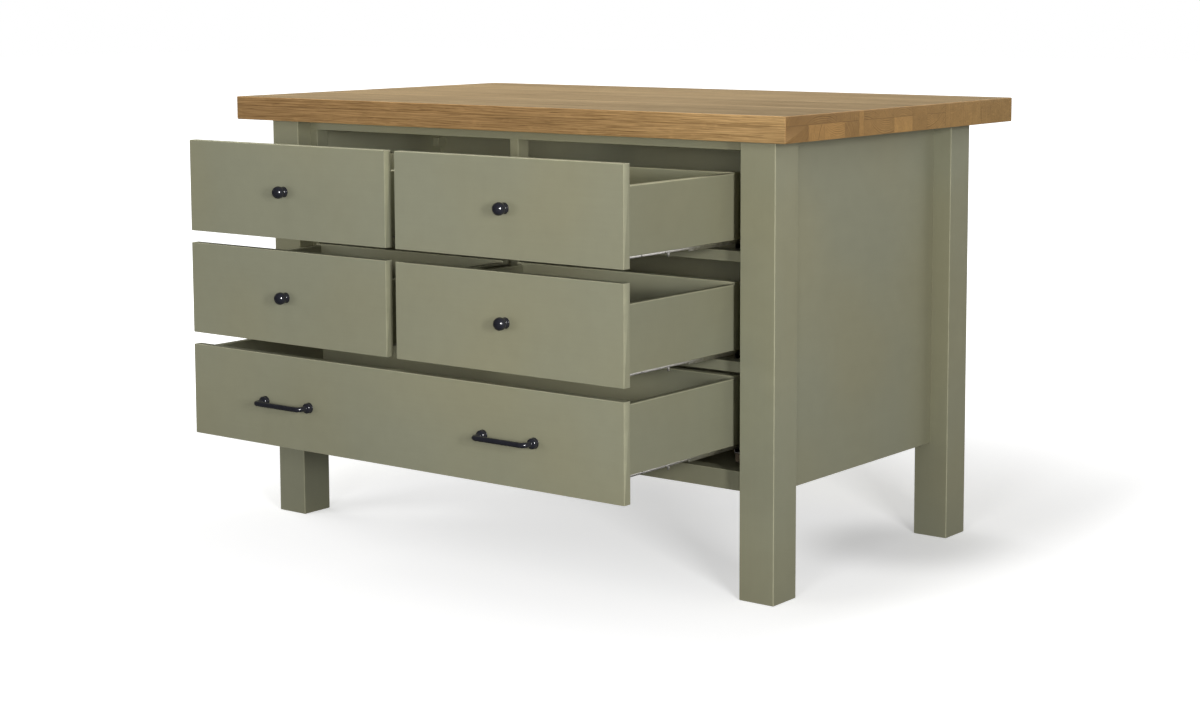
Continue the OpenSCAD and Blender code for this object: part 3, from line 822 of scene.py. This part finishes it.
DRAWERS = ("top_left", "top_right", "middle_left", "middle_right", "bottom")
for d in DRAWERS:
    # Middle members: low channels open below, slots and small holes in the top.
    bm, holes = new_bm(), new_bm()
    for lo, hi in solids("runner_middles_" + d):
        x, z = (lo.x + hi.x) / 2, hi.z
        half = [(6.7, -1.5), (6.7, -6.4), (8.2, -6.4), (8.2, 0)]
        rad = [0.7, 0.4, 0.4, 1.7]
        pts = [(x + u * MM, z + v * MM) for u, v in half] + [(x - u * MM, z + v * MM) for u, v in half[::-1]]
        extrude(bm, pts, [r * MM for r in rad + rad[::-1]], 1, lo.y, hi.y, 0.3 * MM, seg=3, end_seg=1)
        for y in (lo.y + 30 * MM, lo.y + 110 * MM, hi.y - 110 * MM, hi.y - 30 * MM):
            slot_hole(holes, (x, y), 9 * MM, 1.8 * MM, z - 3 * MM, z + 2 * MM)
        for y in (lo.y + 8 * MM, hi.y - 8 * MM):
            rod(holes, (x, y, z - 3 * MM), (x, y, z + 2 * MM), 1.6 * MM)
    dress("runner_middles_" + d + "_channels", cut(bm, holes), ZINC, "runner_middles_" + d, "middles_" + d, 38, False)

    # Caps under the drawer sides, each with a rivet on its outer lip and a stop tab.
    node = f"drawer_{d}_runner_caps"
    bm, holes, extra = new_bm(), new_bm(), new_bm()
    for lo, hi in solids(node):
        s = -1 if (lo.x + hi.x) / 2 < sum(c.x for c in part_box(node)) / 2 else 1
        x = hi.x - 12 * MM if s < 0 else lo.x + 12 * MM
        z = hi.z
        half = [(10.5, -1.5), (10.5, -4.5), (12, -4.5), (12, 0)]
        rad = [0.7, 0.4, 0.4, 1.3]
        pts = [(x + u * MM, z + v * MM) for u, v in half] + [(x - u * MM, z + v * MM) for u, v in half[::-1]]
        extrude(bm, pts, [r * MM for r in rad + rad[::-1]], 1, lo.y, hi.y, 0.3 * MM, seg=3, end_seg=1)
        rod(holes, (x + s * 9.5 * MM, lo.y + 114 * MM, z - 4.6 * MM), (x + s * 14 * MM, lo.y + 114 * MM, z - 4.6 * MM), 1.9 * MM)
        head = [(0, 0), (1.4 * MM, 0), (1.4 * MM, 0.4 * MM), (1.95 * MM, 0.45 * MM), (2.1 * MM, 0.65 * MM), (2.0 * MM, 1.0 * MM), (1.6 * MM, 1.33 * MM), (1.0 * MM, 1.54 * MM), (0, 1.6 * MM)]
        lathe(extra, head, (x + s * 11.5 * MM, lo.y + 44.5 * MM, z - 2.3 * MM), (s, 0, 0), 24)
        tab = [(120, -2.9), (127, -2.9), (127, -9.9), (126, -10.8), (121, -10.8), (120, -9.9)]
        x0, x1 = sorted((x + s * 10.9 * MM, x + s * 12 * MM))
        extrude(extra, [(lo.y + a * MM, z + b * MM) for a, b in tab], [0.0, 0.0, 0.5 * MM, 0.5 * MM, 0.5 * MM, 0.5 * MM], 0, x0, x1, 0.2 * MM)
    me = cut(bm, holes)
    bm = new_bm()
    bm.from_mesh(me)
    me.clear_geometry()
    extra.to_mesh(me)
    extra.free()
    bm.from_mesh(me)
    bpy.data.meshes.remove(me)
    piece(f"drawer_{d}_runner_caps_strip", bm, ZINC, node, "drawer_" + d, 38, False)

# ---------------------------------------------------------------- drawers

ROSE_R, RIM = 10.5 * MM, 1.2 * MM
SHOULDER = 4.5 * MM


def rose_profile(rise, stop):
    """Bolt hole, flat back, rim, ringed barrel and shoulder of a rose, as [(radius, distance)]: stop says where the shoulder ends."""
    r, g = ROSE_R - 0.4 * MM, 0.16 * MM
    out = [
        (0, 12 * MM), (2 * MM, 12 * MM), (2 * MM, 0), (ROSE_R - 0.35 * MM, 0), (ROSE_R - 0.1 * MM, 0.1 * MM), (ROSE_R, 0.35 * MM),
        (ROSE_R, RIM - 0.3 * MM), (ROSE_R - 0.1 * MM, RIM - 0.08 * MM), (ROSE_R - 0.3 * MM, RIM), (r - g, RIM + 0.1 * MM), (r - g, RIM + 0.35 * MM), (r, RIM + 0.6 * MM),
    ]
    d, top = RIM + 1.5 * MM, rise - SHOULDER
    while d + 1.2 * MM < top:
        out += [(r, d), (r - g, d + 0.22 * MM), (r - g, d + 0.38 * MM), (r, d + 0.6 * MM)]
        d += 1.7 * MM
    for k in range(25):
        t = math.pi / 2 * k / 24
        q = (r - SHOULDER + SHOULDER * math.cos(t), top + SHOULDER * math.sin(t))
        if stop(*q):
            break
        out.append(q)
    return out


def drawer(d):
    body, pre = "drawer_" + d, f"drawer_{d}_"
    lo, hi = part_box(pre + "front")
    bm, holes = new_bm(), new_bm()
    board(bm, lo, hi, 0, radii=[1.1 * MM, 0.7 * MM, 0.7 * MM, 1.1 * MM], e=0.9 * MM, seg=4, end_seg=3)
    bolts = solids(pre + ("handle_bolts" if d == "bottom" else "knob_bolt"))
    for a, b in bolts:
        c = (a + b) / 2
        rod(holes, (c.x, lo.y - 5 * MM, c.z), (c.x, hi.y + 5 * MM, c.z), 2.3 * MM)
    dress(pre + "front_panel", cut(bm, holes), PAINT[0], pre + "front", body)

    # Sides: rounded top edge, groove for the base.
    base_lo, base_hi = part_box(pre + "base")
    mid = (lo.x + hi.x) / 2
    bm = new_bm()
    for lo, hi in solids(pre + "sides"):
        s = 1 if (lo.x + hi.x) / 2 > mid else -1
        inner, outer = (lo.x, hi.x) if s > 0 else (hi.x, lo.x)
        deep = inner + s * 6 * MM
        pts = [
            (outer, lo.z), (outer, hi.z), (inner, hi.z), (inner, base_hi.z), (deep, base_hi.z),
            (deep, base_lo.z), (inner, base_lo.z), (inner, lo.z),
        ]
        rad = [0.9, 2.2, 2.2, 0.3, 0, 0, 0.3, 0.9]
        extrude(bm, pts, [r * MM for r in rad], 1, lo.y, hi.y, 0.15 * MM, seg=4, end_seg=1)
    piece(pre + "side_boards", bm, PAINT[1], pre + "sides", body)

    lo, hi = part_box(pre + "back")
    bm = new_bm()
    board(bm, lo, hi, 0, radii=[0.9 * MM, 0.9 * MM, 2.2 * MM, 2.2 * MM], e=0.9 * MM, seg=4)
    piece(pre + "back_board", bm, PAINT[0], pre + "back", body)

    bm = new_bm()
    board(bm, base_lo, base_hi, 0, r=0.4 * MM, e=0.3 * MM, seg=2, end_seg=1)
    piece(pre + "base_board", bm, INSIDE[0], pre + "base", body)

    # Bolts, heads inside the drawer.
    bm = new_bm()
    a, b = bolts[0]
    bolt = fixing(4.2 * MM, 2.4 * MM, 1.9 * MM, (b.y - a.y) - 2.4 * MM, 0.7 * MM, False)
    copies(bm, bolt, [(Vector(((p.x + q.x) / 2, q.y - 2.4 * MM, (p.z + q.z) / 2)), (0, 1, 0)) for p, q in bolts])
    me = bpy.data.meshes.new("bolts")
    bm.to_mesh(me)
    bm.free()
    if d == "bottom":
        dress(pre + "handle_bolts_steel", me, STEEL, pre + "handle_bolts", body, 38, False)
    else:
        dress(pre + "knob_bolt_steel", me, STEEL, pre + "knob_bolt", body, 38, False)


for d in DRAWERS:
    drawer(d)

# Knobs: a ball seated in a ringed rose.
for d in DRAWERS[:4]:
    node = f"drawer_{d}_knob"
    lo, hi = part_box(node)
    c = Vector(((lo.x + hi.x) / 2, hi.y, (lo.z + hi.z) / 2))
    ball = 12.25 * MM
    centre = (hi.y - lo.y) - ball
    profile = rose_profile(9 * MM, lambda r, q: math.hypot(r, centre - q) < ball)
    r, q = profile[-1]
    start = math.atan2(r, centre - q) + 0.02
    for k in range(29):
        t = start + (math.pi - start) * k / 28
        profile.append((ball * math.sin(t) if k < 28 else 0, centre - ball * math.cos(t)))
    bm = new_bm()
    lathe(bm, profile, c, (0, -1, 0), 64)
    piece(node + "_ball", bm, BLACK, node, "drawer_" + d, 60, False)

# Bar handles: one forged bar with rounded elbows, standing on two ringed roses.
bm = new_bm()
for lo, hi in solids("drawer_bottom_handles"):
    z, face, bar = (lo.z + hi.z) / 2, hi.y, 5 * MM
    x0, x1 = lo.x + ROSE_R, hi.x - ROSE_R
    reach, elbow = (hi.y - lo.y) - bar, 9 * MM
    up = Vector((0, 0, 1))
    foot = rose_profile(11.5 * MM, lambda r, q: r < bar + 1.4 * MM)
    r, q = foot[-1]
    for k in range(1, 5):
        foot.append((r + (bar - r) * (1 - (1 - k / 4) ** 2), q + 0.9 * MM * k / 4))
    rings = []
    side = Vector((1, 0, 0))
    for r, dist in foot:
        rings.append((Vector((x0, face - dist, z)), side, up, r))
    for k in range(13):
        t = math.pi / 2 * k / 12
        c = Vector((x0 + elbow - elbow * math.cos(t), face - (reach - elbow) - elbow * math.sin(t), z))
        rings.append((c, Vector((math.cos(t), math.sin(t), 0)), up, bar))
    for k in range(1, 6):
        c = Vector((x0 + elbow + (x1 - x0 - 2 * elbow) * k / 6, face - reach, z))
        rings.append((c, Vector((0, 1, 0)), up, bar))
    for k in range(13):
        t = math.pi / 2 * (1 - k / 12)
        c = Vector((x1 - elbow + elbow * math.cos(t), face - (reach - elbow) - elbow * math.sin(t), z))
        rings.append((c, Vector((-math.cos(t), math.sin(t), 0)), up, bar))
    for r, dist in foot[::-1]:
        rings.append((Vector((x1, face - dist, z)), -side, up, r))
    sweep(bm, rings, 48)
piece("drawer_bottom_handles_bars", bm, BLACK, "drawer_bottom_handles", "drawer_bottom", 60, False)

# ---------------------------------------------------------------- studio


def floor_material(name, colour, glow):
    """Matt pale floor; glow is (near the unit, far from it), since the lights only reach so far."""
    m = Net(name)
    cloud = m.noise(m.co, 0.7, 2.0)
    m.put(m.bsdf.inputs["Base Color"], m.mix(cloud, tone(colour, 0.985), colour))
    m.bsdf.inputs["Roughness"].default_value = 0.9
    m.bsdf.inputs["Specular IOR Level"].default_value = 0.0
    if glow:
        far = m.vmath("LENGTH", m.vmath("MULTIPLY", m.co, (0.8, 1.0, 0.0)))
        m.bsdf.inputs["Emission Color"].default_value = (1, 1, 1, 1)
        x, y = m.split(m.co)[:2]
        # painted light: more glow to the right, the left and in front of the unit; painted shadow: less glow round a
        # spot at the back right leg
        beside = m.sum(m.remap(x, 0.70, 1.05, 0.0, 0.33, True), m.remap(x, -0.64, -0.95, 0.0, 0.14, True), m.remap(y, -0.75, -1.2, 0.0, 0.12, True))
        under = m.vmath("LENGTH", m.vmath("SUBTRACT", m.co, (0.60, 0.33, 0.0)))
        under = m.remap(under, 0.06, 0.28, -0.19, 0.0, True)
        m.put(m.bsdf.inputs["Emission Strength"], m.sum(m.remap(far, 0.75, 2.3, glow[0], glow[1], True), beside, under))
    return m.mat


def plane(name, size, z, material):
    bm = bmesh.new()
    n = 8
    grid = [[bm.verts.new((size * (i / n - 0.5), size * (j / n - 0.5), z)) for j in range(n + 1)] for i in range(n + 1)]
    for i in range(n):
        for j in range(n):
            bm.faces.new((grid[i][j], grid[i + 1][j], grid[i + 1][j + 1], grid[i][j + 1]))
    me = bpy.data.meshes.new(name)
    bm.to_mesh(me)
    bm.free()
    me.materials.append(material)
    ob = bpy.data.objects.new(name, me)
    scene.collection.objects.link(ob)
    return ob


# The floor that shows is pale; a greyer one just under it gives the bounce light.
floor = plane("studio_floor", 60, -0.0002, floor_material("floor_white", (0.8, 0.8, 0.8), (0.49, 1.15)))
floor.visible_diffuse = floor.visible_glossy = floor.visible_shadow = False
bounce = plane("studio_floor_bounce", 60, -0.0012, floor_material("floor_bounce", (0.16, 0.16, 0.16), None))
bounce.visible_camera = False

world = bpy.data.worlds.new("studio")
scene.world = world
world.use_nodes = True
wt = world.node_tree
wt.nodes.clear()
w_out = wt.nodes.new("ShaderNodeOutputWorld")
w_mix = wt.nodes.new("ShaderNodeMixShader")
w_path = wt.nodes.new("ShaderNodeLightPath")
w_light = wt.nodes.new("ShaderNodeBackground")
w_white = wt.nodes.new("ShaderNodeBackground")
w_light.inputs[0].default_value = (1.0, 1.0, 1.0, 1.0)
w_light.inputs[1].default_value = 0.15
w_white.inputs[0].default_value = (1.0, 1.0, 1.0, 1.0)
w_white.inputs[1].default_value = 1.0
wt.links.new(w_path.outputs["Is Camera Ray"], w_mix.inputs[0])
wt.links.new(w_light.outputs[0], w_mix.inputs[1])
wt.links.new(w_white.outputs[0], w_mix.inputs[2])
wt.links.new(w_mix.outputs[0], w_out.inputs[0])


on_floor = bpy.data.collections.new("lit_floor")
on_floor.objects.link(floor)
off_floor = bpy.data.collections.new("lit_all_but_floor")
off_floor.objects.link(floor)
off_floor.collection_objects[0].light_linking.link_state = "EXCLUDE"
on_boxes = bpy.data.collections.new("lit_drawer_boxes")
on_backs = bpy.data.collections.new("lit_drawer_backs")
off_sides = bpy.data.collections.new("lit_all_but_floor_and_drawer_sides")
off_boxes = bpy.data.collections.new("lit_all_but_floor_and_drawer_boxes")
for group in (off_sides, off_boxes):
    group.objects.link(floor)
for ob in scene.objects:
    if ob.name.endswith("side_boards"):
        off_sides.objects.link(ob)
    if ob.name.endswith("back_board"):
        on_backs.objects.link(ob)
    if ob.name.endswith(("side_boards", "back_board")):
        on_boxes.objects.link(ob)
        off_boxes.objects.link(ob)
for group in (off_sides, off_boxes):
    for item in group.collection_objects:
        item.light_linking.link_state = "EXCLUDE"


def softbox(name, where, at, size, power, glossy=True, lit=off_floor):
    light = bpy.data.lights.new(name, "AREA")
    light.shape = "RECTANGLE"
    light.size, light.size_y = size
    light.energy = power
    ob = bpy.data.objects.new(name, light)
    scene.collection.objects.link(ob)
    ob.location = where
    ob.rotation_euler = (Vector(at) - Vector(where)).to_track_quat("-Z", "Y").to_euler()
    ob.visible_camera = False
    ob.visible_glossy = glossy
    ob.light_linking.receiver_collection = lit
    return ob


# A compact main light to the right of the camera, weaker ones in front and beside the camera, and soft fills all round.
mid = (0.0, 0.0, 0.5)


def round_it(name, azimuth, height, size, power, glossy, lit=off_floor):
    """A light 4.5 m away; azimuth 0 is straight in front of the drawers, 90 to their right."""
    t = math.radians(azimuth)
    return softbox(name, (4.5 * math.sin(t), -4.5 * math.cos(t), height), (0.0, -0.2, 0.6), size, power, glossy, lit)


round_it("main_light", 58, 1.50, (0.45, 0.45), 36, True)
round_it("main_light_low", 58, 0.90, (0.45, 0.5), 32, False)
round_it("camera_side_fill", 38.7, 1.25, (0.9, 0.5), 35, False, off_boxes)
round_it("front_fill", 10, 1.05, (0.9, 0.6), 26, False, off_sides)
round_it("drawer_box_light", 58, 1.2, (0.45, 0.5), 25, False, on_boxes)
round_it("drawer_back_light", 0, 1.25, (0.9, 0.6), 62, False, on_backs)
softbox("front_left_fill", (-2.6, -3.8, 0.8), mid, (2.0, 0.9), 22, False)
softbox("left_fill", (-4.2, 0.0, 1.8), mid, (3.0, 2.2), 122, False)
softbox("back_right_fill", (3.2, 3.4, 2.2), mid, (3.0, 2.2), 48, True, off_sides)
softbox("back_fill", (-0.5, 4.4, 0.72), mid, (2.6, 0.3), 80, False)
softbox("top_fill", (-0.5, 0.2, 3.6), (0.0, 0.0, 0.9), (3.0, 2.5), 97, False)

# The glint on the black metal, which is all that this one lights.
on_metal = bpy.data.collections.new("lit_black_metal")
for ob in scene.objects:
    if ob.type == "MESH" and ob.data.materials and ob.data.materials[0] == BLACK:
        on_metal.objects.link(ob)
round_it("glint_light", 60, 1.75, (1.3, 1.0), 420, True, on_metal)

# The runners' plated steel mirrors a low light behind the unit.
on_caps = bpy.data.collections.new("lit_runner_caps")
on_middles = bpy.data.collections.new("lit_runner_middles")
for ob in scene.objects:
    if ob.type == "MESH" and ob.data.materials and ob.data.materials[0] == ZINC:
        (on_caps if "caps" in ob.name else on_middles).objects.link(ob)
softbox("runner_cap_light", (3.2, 3.7, 0.8), (0.0, -0.3, 0.6), (2.4, 1.2), 20, True, on_caps)
softbox("runner_middle_light", (3.2, 3.7, 0.8), (0.0, -0.3, 0.6), (2.4, 1.2), 85, True, on_middles)

# The floor's own lights, which give it the soft shadows under the unit.
softbox("floor_right", (3.8, -2.6, 0.95), mid, (1.0, 0.8), 176, False, on_floor)
softbox("floor_camera_side", (1.6, -4.2, 0.95), mid, (1.0, 0.8), 70, False, on_floor)
softbox("floor_front_left", (-2.6, -3.8, 2.2), mid, (3.0, 2.2), 84, False, on_floor)
softbox("floor_left", (-4.2, 0.0, 1.8), mid, (3.0, 2.2), 56, False, on_floor)

scene.view_settings.view_transform = "Standard"
scene.view_settings.look = "None"
scene.view_settings.exposure = 0.0
scene.view_settings.gamma = 1.0

# Camera at the photograph's angle.
yaw, pitch, roll = (math.radians(a) for a in (37.92, 6.36, -0.22))
fw = Vector((-math.sin(yaw) * math.cos(pitch), math.cos(yaw) * math.cos(pitch), -math.sin(pitch)))
right = Vector((math.cos(yaw), math.sin(yaw), 0))
upward = right.cross(fw)
r2 = right * math.cos(roll) + upward * math.sin(roll)
u2 = -right * math.sin(roll) + upward * math.cos(roll)
cam = bpy.data.cameras.new("camera")
cam.lens = 66.6225
cam.sensor_width = 36
cam.sensor_fit = "HORIZONTAL"
cam.shift_x = 0.0
cam.shift_y = -0.09625
cam.clip_end = 200
cam_ob = bpy.data.objects.new("camera", cam)
scene.collection.objects.link(cam_ob)
cam_ob.matrix_world = Matrix((
    (r2.x, u2.x, -fw.x, 2.84103),
    (r2.y, u2.y, -fw.y, -3.55224),
    (r2.z, u2.z, -fw.z, 1.12282),
    (0, 0, 0, 1),
))
scene.camera = cam_ob
